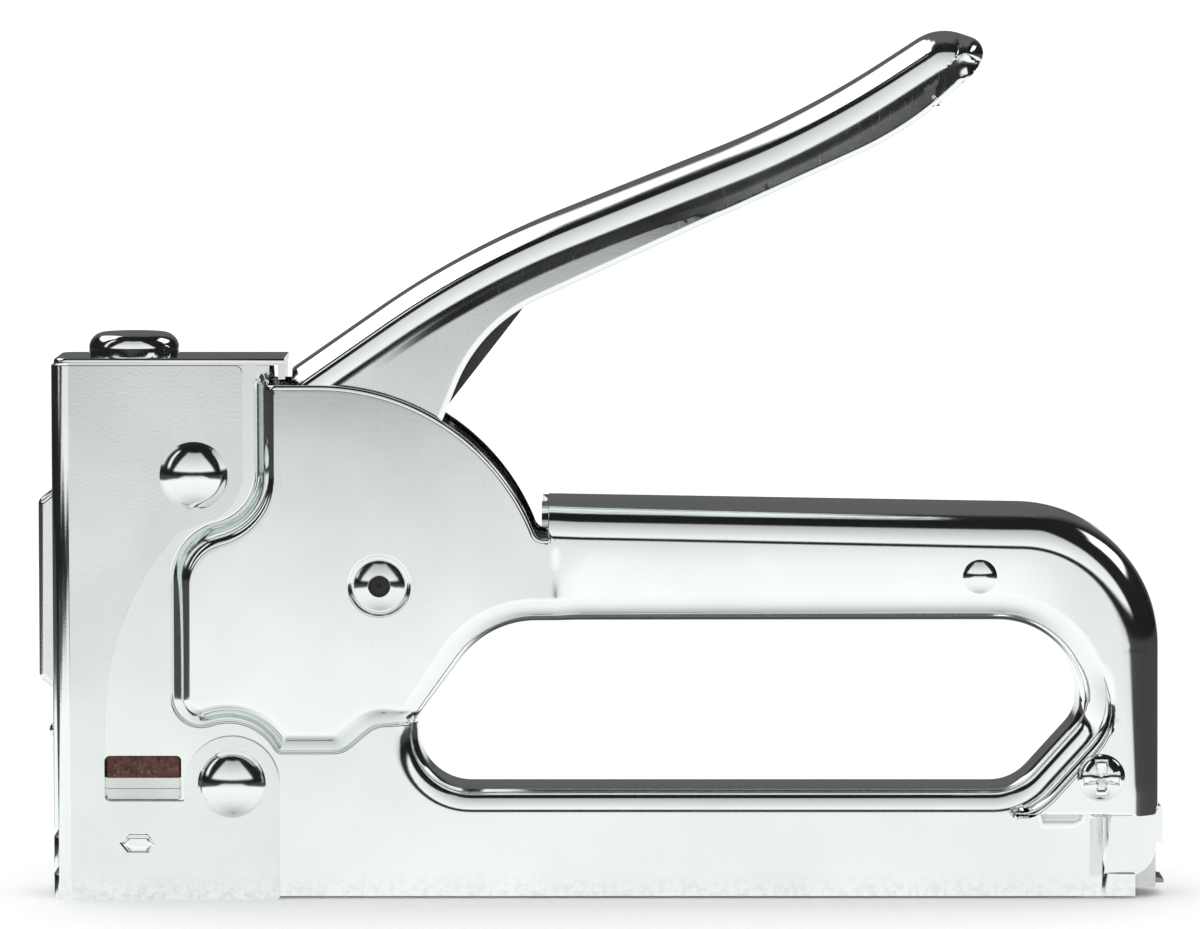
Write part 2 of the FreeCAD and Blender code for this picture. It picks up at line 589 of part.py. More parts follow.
def latch_leaf():
    """The springy tongue under the rail's rear end: it is pressed up to free the magazine."""
    outline = [
        (132.0, 1.75, 0), (132.0, 2.45, 0), (152.4, 2.45, 2.0), (154.2, 3.0, 1.2), (TONGUE_END, 2.4, 0.15),
        (TONGUE_END, 1.85, 0.15), (154.0, 1.75, 0),
    ]
    nose = prism([(144.9, 2.0, 0), (145.2, 1.3, 0.1), (145.8, 1.3, 0.1), (146.1, 2.0, 0)], -2.5, 2.5)
    tongue = joined([prism(outline, -3.3, 3.3), nose])
    for y in (-1.8, 1.8):
        tongue = tongue.cut(Part.makeCylinder(0.8, 2.0, at(LATCH_RIVET, y, 1.0)))
    return tongue


def latch_rivets():
    """Two small rivets that hold the tongue under the rod seat."""
    return [
        Part.makeCylinder(0.7, 2.3, at(LATCH_RIVET, y, 1.5)).fuse(Part.makeCylinder(1.2, 0.3, at(LATCH_RIVET, y, 1.35)))
        for y in (-1.8, 1.8)
    ]


# ---- build -----------------------------------------------------------------------------------------------
def main():
    os.makedirs("parts", exist_ok=True)
    left = shell()
    save("left_shell", left)
    save("right_shell", mirrored(left))
    save("nose_cover", nose_cover())
    save("nose_guide_plate", nose_guide())
    save("nose_rivet", front_rivet())
    save("top_cap", top_cap())
    save("upper_rivet", domed_rivet(UPPER_RIVET, COVER_OUT + FIT, DOME_RADIUS, DOME_HEIGHT, RIVET_SHANK))
    save("lower_rivet", domed_rivet(LOWER_RIVET, COVER_OUT + FIT, DOME_RADIUS, DOME_HEIGHT, RIVET_SHANK))
    save("upper_spacer", tube(UPPER_RIVET, 2.9, RIVET_SHANK + FIT, CHANNEL - FIT))
    save("lower_spacer", tube(LOWER_RIVET, 3.2, RIVET_SHANK + FIT, CHANNEL - FIT))
    save("pivot_pin", pivot_pin())
    save("grip_rivet", domed_rivet(GRIP_RIVET, BULGE, GRIP_RIVET_HEAD, 0.9, GRIP_RIVET_SHANK))
    save("grip_spacer", tube(GRIP_RIVET, 2.7, GRIP_RIVET_SHANK + FIT, BULGE - SHEET - FIT))
    save("rear_screw", rear_screw())
    save("rear_nut", rear_nut())
    save("rear_spacer", tube(REAR_SCREW, 3.1, SCREW_SHANK + FIT, BULGE - SHEET - FIT))
    save("bumper_pad", bumper_slab(17.25, 20.3, 6.5))
    save("bumper_plates", bumper_slab(15.72, 17.2, 6.4), bumper_slab(14.15, 15.65, 6.4))
    save("track_roof", block((3.3, 138.5), (-CHANNEL + FIT, CHANNEL - FIT), (TRACK_ROOF, TRACK_ROOF + 1.0)))
    save("rear_tie", block((146.0, 149.0), (-CHANNEL + 0.01, CHANNEL - 0.01), (FOOT, 1.2)))
    save("staple_strip", staple_strip())
    save("lever_shell", lever_shell())
    save("lever_arm", lever_arm())
    save("lever_bush", tube(PIVOT, 3.9, PIVOT_SHANK + RUNNING, LEVER_HALF - LEVER_SHEET - FIT))
    save("return_spring", return_spring())
    save("hammer", hammer())
    save("driver_blade", driver_blade())
    save("driver_rivets", *driver_rivets())
    spring_foot = HAMMER_TOP + 0.05 + SPRING_WIRE / 2
    spring_length = 78.9 - 0.05 - SPRING_WIRE / 2 - spring_foot
    save("main_spring", coil(SPRING_MEAN, SPRING_WIRE, spring_length / SPRING_TURNS, SPRING_TURNS,
                             at(SPRING_U, 0, spring_foot), Vector(0, 0, 1)))
    save("magazine_rail", magazine_rail())
    save("magazine_pull", magazine_pull())
    save("guide_rod", guide_rod())
    save("rod_seat", rod_seat())
    save("latch_rivets", *latch_rivets())
    save("latch_tongue", latch_leaf())
    save("pusher", pusher())
    save("pusher_spring", pusher_spring())


main()
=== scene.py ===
"""Hand staple gun in chromed sheet steel: the looks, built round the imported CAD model."""
import bpy
import json
import math
import numpy as np
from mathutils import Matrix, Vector
from mathutils.geometry import delaunay_2d_cdt as cdt

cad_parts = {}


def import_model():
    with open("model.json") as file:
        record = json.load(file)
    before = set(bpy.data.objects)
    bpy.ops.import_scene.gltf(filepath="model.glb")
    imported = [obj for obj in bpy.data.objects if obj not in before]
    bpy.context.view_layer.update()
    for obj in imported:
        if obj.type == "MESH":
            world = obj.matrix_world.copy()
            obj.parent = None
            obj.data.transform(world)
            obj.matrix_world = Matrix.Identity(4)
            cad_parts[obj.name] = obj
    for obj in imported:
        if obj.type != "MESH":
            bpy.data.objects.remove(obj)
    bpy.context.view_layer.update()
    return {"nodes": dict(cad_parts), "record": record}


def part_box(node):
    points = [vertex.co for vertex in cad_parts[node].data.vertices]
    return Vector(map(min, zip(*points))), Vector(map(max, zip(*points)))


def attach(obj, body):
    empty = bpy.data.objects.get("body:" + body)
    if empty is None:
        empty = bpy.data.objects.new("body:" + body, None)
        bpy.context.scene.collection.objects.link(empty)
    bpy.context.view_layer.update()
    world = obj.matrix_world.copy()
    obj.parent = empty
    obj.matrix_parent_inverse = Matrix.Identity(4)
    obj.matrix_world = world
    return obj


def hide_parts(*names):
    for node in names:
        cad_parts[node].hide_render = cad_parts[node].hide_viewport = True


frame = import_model()
NODES = frame["nodes"]
MM = 0.001


# ---- materials -------------------------------------------------------------------------------------------
class Graph:
    """A node tree built step by step."""

    def __init__(self, tree):
        self.tree = tree
        tree.nodes.clear()

    def add(self, kind, **values):
        """A node with its settings, and its inputs by name: a socket is linked and a number is set."""
        node = self.tree.nodes.new(kind)
        for key, value in values.items():
            if hasattr(node, key):
                setattr(node, key, value)
            else:
                self.put(value, node.inputs[key.replace("_", " ")])
        return node

    def put(self, value, socket):
        """Link a socket's value, or set a plain number or colour."""
        if isinstance(value, bpy.types.NodeSocket):
            self.tree.links.new(value, socket)
        else:
            socket.default_value = value

    def remap(self, value, low, high, to_low, to_high):
        """value from low..high to to_low..to_high, held at the ends."""
        node = self.add("ShaderNodeMapRange", Value=value)
        for name, number in (("From Min", low), ("From Max", high), ("To Min", to_low), ("To Max", to_high)):
            node.inputs[name].default_value = number
        return node.outputs[0]

    def band(self, value, low, high, soft):
        """1 from low to high and 0 outside, with soft ends."""
        rise = self.remap(value, low - soft, low + soft, 0, 1)
        return self.math(rise, self.remap(value, high - soft, high + soft, 1, 0), "MULTIPLY")

    def blend(self, factor, first, second):
        """A colour between two, by a factor."""
        node = self.add("ShaderNodeMix", data_type="RGBA")
        self.put(factor, node.inputs["Factor"])
        for socket, colour in ((node.inputs[6], first), (node.inputs[7], second)):
            self.put(colour if isinstance(colour, bpy.types.NodeSocket) else (*colour, 1), socket)
        return node.outputs[2]

    def math(self, first, second=0.0, kind="ADD"):
        """Two values combined."""
        node = self.add("ShaderNodeMath", operation=kind)
        self.put(first, node.inputs[0])
        self.put(second, node.inputs[1])
        return node.outputs[0]

    def total(self, *values):
        """The sum of several values."""
        result = values[0]
        for value in values[1:]:
            result = self.math(result, value)
        return result


class Shader(Graph):
    """A node material on the object's own coordinates, in metres."""

    def __init__(self, name):
        self.material = bpy.data.materials.new(name)
        self.material.use_nodes = True
        super().__init__(self.material.node_tree)
        out = self.add("ShaderNodeOutputMaterial")
        self.bsdf = self.add("ShaderNodeBsdfPrincipled")
        self.tree.links.new(self.bsdf.outputs[0], out.inputs[0])
        self.where = self.add("ShaderNodeTexCoord").outputs["Object"]

    def noise(self, scale, detail=4, rough=0.5, stretch=(1, 1, 1), turn=0.0):
        """Noise with so many cells to the metre, drawn out along an axis by a stretch over 1."""
        place = self.add("ShaderNodeMapping", Vector=self.where, Scale=[1 / s for s in stretch])
        place.inputs["Rotation"].default_value = (0, turn, 0)
        node = self.add("ShaderNodeTexNoise", Vector=place.outputs[0], Scale=scale, Detail=detail, Roughness=rough)
        return node.outputs["Fac"]

    def worn(self):
        """1 where the tool rubs on the work, in the lowest few millimetres, and on a few small scuffs elsewhere."""
        height = self.add("ShaderNodeSeparateXYZ", Vector=self.where).outputs["Z"]
        foot = self.math(self.remap(height, 0.0005, 0.004, 1, 0), self.remap(self.noise(900, 4, 0.6), 0.45, 0.6, 0, 1), "MULTIPLY")
        return self.math(foot, self.remap(self.noise(240, 5, 0.7), 0.68, 0.74, 0, 0.5), "MAXIMUM")

    def finish(self, colour, rough, bump, height, metallic=1.0):
        """Link colour, roughness and bump to the shader and return the material."""
        self.tree.links.new(colour, self.bsdf.inputs["Base Color"])
        self.tree.links.new(rough, self.bsdf.inputs["Roughness"])
        self.bsdf.inputs["Metallic"].default_value = metallic
        node = self.add("ShaderNodeBump", Height=bump, Distance=height)
        self.tree.links.new(node.outputs[0], self.bsdf.inputs["Normal"])
        return self.material


def plated(name, light, dark, rough, relief, peel=1900):
    """Bright plating on rolled sheet: cloudy tone, faint rolling lines, hairline scratches and orange peel."""
    s = Shader(name)
    cloud = s.noise(55, 4, 0.55)
    skin = s.noise(peel, 2, 0.5)
    lines = s.noise(1500, 2, 0.6, stretch=(60, 1, 1))
    hair = [s.remap(s.noise(5200, 0, 0.3, (1, 1, 30), turn), 0.76, 0.84, 0, 1) for turn in (0.6, 2.1)]
    scratch = s.math(*hair, "MAXIMUM")
    worn = s.worn()
    colour = s.blend(s.remap(cloud, 0.35, 0.7, 0, 1), light, dark)
    colour = s.blend(s.math(worn, 0.22, "MULTIPLY"), colour, [0.7 * c for c in dark])
    rough_value = s.total(
        s.remap(cloud, 0.3, 0.75, rough[0], rough[1]), s.math(scratch, 0.05, "MULTIPLY"), s.math(worn, 0.06, "MULTIPLY"))
    bump = s.total(skin, s.math(lines, 0.2, "MULTIPLY"), s.math(scratch, 0.15, "MULTIPLY"))
    return s.finish(colour, rough_value, bump, relief)


def fibre():
    """Pressed brown fibre board: dark mottled grain with paler specks, rough and dull all over."""
    s = Shader("fibre")
    grain = s.noise(900, 5, 0.7)
    speck = s.noise(2300, 2, 0.6)
    colour = s.blend(s.remap(grain, 0.35, 0.65, 0, 1), (0.12, 0.04, 0.025), (0.03, 0.012, 0.01))
    colour = s.blend(s.remap(speck, 0.62, 0.68, 0, 0.8), colour, (0.3, 0.17, 0.12))
    return s.finish(colour, s.remap(grain, 0.3, 0.7, 0.6, 0.85), grain, 0.0002, 0.0)


def make_materials():
    """One material for each slot of the record, and one for the nose cover's duller sheet."""
    chrome = (0.905, 0.935, 0.925)
    return {
        "chrome_steel": plated("chrome_steel", chrome, (0.85, 0.9, 0.88), (0.07, 0.12), 0.0000012),
        "nose_chrome": plated("nose_chrome", (0.86, 0.905, 0.885), (0.81, 0.86, 0.84), (0.1, 0.16), 0.000004, 2600),
        "rivet_steel": plated("rivet_steel", (0.88, 0.92, 0.9), (0.8, 0.85, 0.83), (0.08, 0.14), 0.000002),
        "arm_steel": plated("arm_steel", (0.1, 0.1, 0.1), (0.05, 0.05, 0.05), (0.35, 0.5), 0.00001),
        "plate_steel": plated("plate_steel", (0.8, 0.83, 0.82), (0.66, 0.7, 0.69), (0.16, 0.28), 0.000005),
        "spring_steel": plated("spring_steel", (0.42, 0.41, 0.39), (0.3, 0.3, 0.29), (0.25, 0.4), 0.000006),
        "zinc_steel": plated("zinc_steel", (0.78, 0.8, 0.79), (0.66, 0.69, 0.69), (0.18, 0.3), 0.000005),
        "staple_wire": plated("staple_wire", (0.75, 0.75, 0.74), (0.62, 0.62, 0.62), (0.2, 0.35), 0.000006),
        "fibre": fibre(),
    }


MATERIALS = make_materials()


# ---- drawn sheet: a height over the tool's side, pressed out of a flat outline -----------------------------
MIDDLE = -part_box("nose_cover")[0].x / MM - 2.1     # U of the row frame's origin, with U counted from the nose's face
SHEET = 1.0
FLAT = -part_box("left_shell")[0].y / MM - 3.65      # outer half width of the flat parts
BULGE = FLAT + 3.65
RIM = 3.6                  # width of the rounded rim under the opening


def path(corners, closed=False, step=0.7):
    """Points along an outline of (U, H, radius, width) corners, each with the width of the rounding beside it."""
    count = len(corners)
    found = []
    for i, (u, h, radius, width) in enumerate(corners):
        here = np.array((u, h))
        if radius == 0 or (not closed and i in (0, count - 1)):
            found.append((u, h, width))
            continue
        back = np.array(corners[i - 1][:2]) - here
        ahead = np.array(corners[(i + 1) % count][:2]) - here
        back /= np.linalg.norm(back)
        ahead /= np.linalg.norm(ahead)
        half = math.acos(np.clip(back @ ahead, -1, 1)) / 2
        centre = here + (back + ahead) / np.linalg.norm(back + ahead) * radius / math.sin(half)
        first = here + back * radius / math.tan(half) - centre
        last = here + ahead * radius / math.tan(half) - centre
        sweep = math.pi - 2 * half
        turns = max(3, int(radius * sweep / step), int(sweep / math.radians(9)))
        for k in range(turns + 1):
            a, b = math.sin(sweep * (1 - k / turns)), math.sin(sweep * k / turns)
            point = centre + (first * a + last * b) / math.sin(sweep)
            found.append((point[0], point[1], width))
    dense = []
    stretches = zip(found, found[1:] + found[:1] if closed else found[1:])
    for a, b in stretches:
        parts = max(1, round(math.dist(a[:2], b[:2]) / step))
        dense += [tuple(a[j] + (b[j] - a[j]) * k / parts for j in range(3)) for k in range(parts)]
    return np.array(dense if closed else dense + [found[-1]])


def inward(line, closed, way):
    """Unit normals along a path, to its right going along it, or to its left where way is -1."""
    ahead = np.roll(line[:, :2], -1, 0) - np.roll(line[:, :2], 1, 0)
    if not closed:
        ahead[0] = line[1, :2] - line[0, :2]
        ahead[-1] = line[-1, :2] - line[-2, :2]
    ahead /= np.linalg.norm(ahead, axis=1)[:, None]
    return np.stack((ahead[:, 1], -ahead[:, 0]), 1) * way


def nearest(points, line, closed=False):
    """Distance from each point to a path, and the path's width at that place."""
    start = line if closed else line[:-1]
    end = np.roll(line, -1, 0) if closed else line[1:]
    along = (end - start)[:, :2]
    length = (along**2).sum(1)
    best = np.full(len(points), 1e9)
    width = np.zeros(len(points))
    for low in range(0, len(points), 4000):
        part = points[low : low + 4000]
        rel = part[:, None, :] - start[None, :, :2]
        share = np.clip((rel * along).sum(2) / length, 0, 1)
        gap = ((rel - share[:, :, None] * along) ** 2).sum(2)
        pick = gap.argmin(1)
        rows = np.arange(len(part))
        best[low : low + 4000] = np.sqrt(gap[rows, pick])
        width[low : low + 4000] = start[pick, 2] + share[rows, pick] * (end - start)[pick, 2]
    return best, width


def inside(points, loop):
    """True for each point within a closed path."""
    hit = np.zeros(len(points), bool)
    for a, b in zip(loop, np.roll(loop, -1, 0)):
        spans = (a[1] > points[:, 1]) != (b[1] > points[:, 1])
        with np.errstate(divide="ignore", invalid="ignore"):
            cross = a[0] + (points[:, 1] - a[1]) * (b[0] - a[0]) / (b[1] - a[1])
        hit ^= spans & (points[:, 0] < cross)
    return hit


def quarter(t):
    """A quarter round: 0 at t of 0, where it starts upright, and 1 from t of 1, where it ends level."""
    return np.sqrt(1 - (1 - np.clip(t, 0, 1)) ** 2)


def steps(start, end, t):
    """0 below start, 1 above end, and a smooth rise between."""
    t = np.clip((t - start) / (end - start), 0, 1)
    return t * t * (3 - 2 * t)


class Sheet:
    """Half of a drawn sheet piece: points in (U, S, H), where S is the distance from the middle plane."""

    def __init__(self, outline, height, thickness, spacing=2.2):
        self.outline = outline
        self.height = height
        self.thickness = thickness
        self.spacing = spacing
        self.holes = []
        self.rings = []
        self.walls = []

    def ring(self, line, closed, way, shares, guard=0.97):
        """Rows of points beside a path, at shares of its width, left out where another stretch is nearer."""
        normals = inward(line, closed, way)
        for share in shares:
            row = line[:, :2] + normals * (line[:, 2] * share)[:, None]
            gap, width = nearest(row, line, closed)
            self.rings.append(row[gap > np.maximum(width * share * guard, 0.02) - 1e-6])

    def flat_mesh(self):
        """The outline cut into triangles, finer beside the rounded edges."""
        loops = [self.outline] + self.holes
        fixed = np.concatenate([loop[:, :2] for loop in loops])
        edges = []
        base = 0
        for loop in loops:
            edges += [(base + k, base + (k + 1) % len(loop)) for k in range(len(loop))]
            base += len(loop)
        low, high = self.outline[:, :2].min(0), self.outline[:, :2].max(0)
        rows = []
        for j, h in enumerate(np.arange(low[1], high[1], self.spacing * 0.87)):
            across = np.arange(low[0] + (j % 2) * self.spacing / 2, high[0], self.spacing)
            rows.append(np.stack((across, np.full(len(across), h)), 1))
        grid = np.concatenate(rows)
        free = [r for r in self.rings if len(r)]
        close = np.concatenate(free) if free else np.zeros((0, 2))
        near = set(map(tuple, np.round(close / (self.spacing * 0.55)).astype(int)))
        keep = []
        for p in grid:
            cell = np.round(p / (self.spacing * 0.55)).astype(int)
            if not any((cell[0] + a, cell[1] + b) in near for a in (-1, 0, 1) for b in (-1, 0, 1)):
                keep.append(p)
        loose = np.concatenate((close, np.array(keep).reshape(-1, 2)))
        loose = loose[inside(loose, self.outline)]
        for hole in self.holes:
            loose = loose[~inside(loose, hole)]
        for loop in loops:
            loose = loose[nearest(loose, loop, True)[0] > 0.04]
        points = np.concatenate((fixed, loose))
        made = cdt([Vector(p) for p in points], edges, [], 0, 1e-5)
        points = np.array([tuple(v) for v in made[0]])
        faces = np.array([f for f in made[2] if len(f) == 3])
        middle = points[faces].mean(1)
        good = inside(middle, self.outline)
        for hole in self.holes:
            good &= ~inside(middle, hole)
        return points, faces[good]

    def build(self):
        """Points, normals and faces of the right half: outer face, walls, inner face and rims."""
        flat, faces = self.flat_mesh()
        tall = self.height(flat)
        tiny = 0.012
        slope_u = (self.height(flat + (tiny, 0)) - self.height(flat - (tiny, 0))) / (2 * tiny)
        slope_h = (self.height(flat + (0, tiny)) - self.height(flat - (0, tiny))) / (2 * tiny)
        normals = np.stack((-slope_u, np.ones(len(flat)), -slope_h), 1)
        points = np.stack((flat[:, 0], tall, flat[:, 1]), 1)
        normals /= np.linalg.norm(normals, axis=1)[:, None]
        a, b, c = (points[faces[:, k]] for k in range(3))
        turned = np.cross(b - a, c - a)[:, 1] < 0
        faces[turned] = faces[turned][:, ::-1]
        faces = [tuple(f) for f in faces]
        for line, closed, way, foot in self.walls:
            out = -inward(line, closed, way)
            gap = np.linalg.norm(points[:, None, ::2] - line[None, :, :2], axis=2)
            top = gap.argmin(0)
            normals[top] = np.stack((out[:, 0], np.zeros(len(out)), out[:, 1]), 1)
            rows = [top]
            for share in (0.5, 1.0):
                row = np.stack((line[:, 0], tall[top] + (foot - tall[top]) * share, line[:, 1]), 1)
                rows.append(np.arange(len(row)) + len(points))
                points = np.concatenate((points, row))
                normals = np.concatenate((normals, normals[top]))
            count = len(line)
            for upper, lower in zip(rows, rows[1:]):
                for k in range(count if closed else count - 1):
                    n = (k + 1) % count
                    quad = (upper[k], upper[n], lower[n], lower[k])
                    p = points[list(quad)]
                    if np.cross(p[1] - p[0], p[3] - p[0]) @ normals[top[k]] < 0:
                        quad = quad[::-1]
                    faces.append(quad)
        return self.thicken(points, normals, faces)

    def thicken(self, points, normals, faces):
        """Add the inner face and the rims."""
        count = len(points)
        inner = points - normals * self.thickness
        inner[:, 1] = np.maximum(inner[:, 1], 0.02)
        border = {}
        for f in faces:
            for k in range(len(f)):
                edge = (f[k], f[(k + 1) % len(f)])
                if edge[::-1] in border:
                    del border[edge[::-1]]
                else:
                    border[edge] = True
        rim_faces = []
        rim_points = []
        rim_normals = []
        for a, b in border:
            if points[a][1] < 0.03 and points[b][1] < 0.03:
                continue
            corners = (points[b], points[a], inner[a], inner[b])
            out = np.cross(corners[1] - corners[0], corners[2] - corners[1])
            size = np.linalg.norm(out)
            if size < 1e-9:
                continue
            base = 2 * count + len(rim_points)
            rim_points += corners
            rim_normals += [out / size] * 4
            rim_faces.append((base, base + 1, base + 2, base + 3))
        faces = faces + [tuple(v + count for v in f[::-1]) for f in faces] + rim_faces
        points = np.concatenate([points, inner] + ([np.array(rim_points)] if rim_points else []))
        normals = np.concatenate([normals, -normals] + ([np.array(rim_normals)] if rim_normals else []))
        return points, normals, faces


def mirrored(half):
    """The left half from the right one."""
    points, normals, faces = half
    return points * (1, -1, 1), normals * (1, -1, 1), [f[::-1] for f in faces]


def mesh_piece(name, halves, slot, body, *nodes):
    """One piece from the point, normal and face lists of its halves, in millimetres of the drawing frame."""
    points = np.concatenate([h[0] for h in halves])
    normals = np.concatenate([h[1] for h in halves])
    faces = []
    base = 0
    for half in halves:
        faces += [tuple(int(v) + base for v in f) for f in half[2]]
        base += len(half[0])
    points = (points - (MIDDLE, 0, 0)) * MM
    mesh = bpy.data.meshes.new(name)
    mesh.from_pydata(points.tolist(), [], faces)
    mesh.polygons.foreach_set("use_smooth", [True] * len(mesh.polygons))
    mesh.normals_split_custom_set_from_vertices(normals.tolist())
    return add_piece(name, mesh, slot, body, *nodes)


def add_piece(name, mesh, slot, body, *nodes):
    """Put a mesh or curve in the scene, on its body, in its material, in place of its CAD nodes."""
    made = bpy.data.objects.new(name, mesh)
    bpy.context.scene.collection.objects.link(made)
    mesh.materials.append(MATERIALS[slot])
    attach(made, body)
    if nodes:
        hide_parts(*nodes)
    return made


# ---- body shells -----------------------------------------------------------------------------------------
OPENING = [
    (62.0, 39.6, 13.0, 3.6), (51.6, 25.8, 5.0, 3.0), (51.8, 15.8, 7.5, RIM), (136.2, 15.8, 7.0, RIM),
    (145.3, 25.9, 5.4, 3.6), (145.3, 39.6, 11.5, 4.2),
]
MOUTH = [(30.9, 73.1, 0, 0.7), (59.9, 73.1, 32.7, 0.7), (68.56, 51.5, 1.4, 0.7), (70.2, 51.5, 0, 0.6)]
FRONT = [(70.2, 51.5, 0, 0.5), (70.2, 56.8, 0, 0.5)]
GRIP = [
    (70.2, 56.8, 0, 5.4), (156.6, 55.4, 20.0, 5.8), (156.6, 16.0, 0, 4.8), (156.6, 12.2, 0, 4.8),
]
TAIL = [(156.6, 12.2, 0, 0.5), (148.9, 12.2, 0, 0.5)]
FOOT = [
    (28.9, 73.1, 0, 2.9), (28.9, 54.85, 7.2, 2.9), (17.0, 51.7, 8.4, 2.9), (17.0, 23.2, 4.0, 2.9),
    (28.4, 26.95, 7.7, 2.9), (31.9, 21.0, 1.0, 2.9), (41.0, 21.0, 3.6, 2.9), (45.5, 24.8, 4.0, 2.9),
    (51.9, 25.1, 0, 2.0),
]
HEEL = [(135.6, 12.2, 0, 0.35), (148.9, 12.2, 0, 0.35)]
SIDE = [(148.9, 12.2, 0, 2.2), (148.9, 3.5, 0, 2.2)]
ACROSS_OPENING = [(135.6, 20.0, 1), (80.0, 30.0, 1), (56.0, 30.0, 1)]
PLATE = [
    (148.9, 3.5, 0, 1), (153.3, 3.5, 0, 1), (153.3, 0.4, 0, 1), (2.4, 0.4, 0, 1), (2.4, 75.7, 0, 1),
    (30.9, 75.7, 0, 1),
]
WINDOW = [(7.4, 14.1, 0.7, 1), (7.4, 20.4, 0.7, 1), (18.2, 20.4, 0.7, 1), (18.2, 14.1, 0.7, 1)]
ROUNDS = (0.012, 0.04, 0.08, 0.13, 0.19, 0.26, 0.34, 0.43, 0.53, 0.64, 0.76, 0.88, 1.0, 1.25)


def crest(p):
    """Height of the drawn face before its edges are rounded: slightly crowned, and sunk to the rim at its rear."""
    u, h = p[:, 0], p[:, 1]
    on_grip = steps(70.5, 75.0, u) * steps(34.0, 40.0, h) * (1 - steps(130.0, 146.0, u))
    level = BULGE - on_grip * 0.0055 * (h - 50.5) ** 2
    level -= (1 - steps(58.0, 70.0, u)) * 0.0004 * (h - 53.0) ** 2
    neck = np.exp(-(((u - 71.2) / 0.5) ** 2)) * steps(40.5, 46.0, h) * (1 - steps(47.0, 50.5, h))
    from_pivot = np.hypot(u - PIVOT[0], h - PIVOT[1])
    level -= 0.16 * neck + 0.34 * (1 - steps(3.85, 4.5, from_pivot))
    beyond = nearest(p, OPENING_LINE, True)[0] - RIM
    on_rim = (1 - quarter(beyond / 1.4)) * steps(100.0, 101.0, u)
    return level - on_rim * (level - FLAT) * (1 - steps(24.0, 34.0, h))


def crease(gap):
    """A thin pressed line along a path, from the distance to it."""
    return 0.11 * np.exp(-((gap / 0.17) ** 2))


def circle(place, radius, count=48):
    """Points round a place in the drawing frame."""
    turns = np.arange(count) * 2 * math.pi / count
    return np.stack((place[0] + radius * np.cos(turns), place[1] + radius * np.sin(turns)), 1)


OPENING_LINE = path(OPENING, True)
PIVOT_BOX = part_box("pivot_pin")
PIVOT = ((PIVOT_BOX[0].x + PIVOT_BOX[1].x) / 2 / MM + MIDDLE, (PIVOT_BOX[0].z + PIVOT_BOX[1].z) / 2 / MM)
PIP = [(9.7, 8.05, 0.1, 1), (10.7, 9.25, 0.3, 1), (13.5, 9.25, 0.3, 1), (14.5, 8.05, 0.1, 1),
       (13.5, 6.85, 0.3, 1), (10.7, 6.85, 0.3, 1)]


def beside(line, distances):
    """Rows of points at the same distances on both sides of a path."""
    normals = inward(line, False, 1)
    return [line[:, :2] + normals * d * way for d in distances for way in (-1, 1)]


def spots(first_u, last_u, first_h, last_h, gap):
    """A square grid of points, for a place that needs a finer mesh."""
    across, up = np.meshgrid(np.arange(first_u, last_u, gap), np.arange(first_h, last_h, gap))
    return np.stack((across.ravel(), up.ravel()), 1)


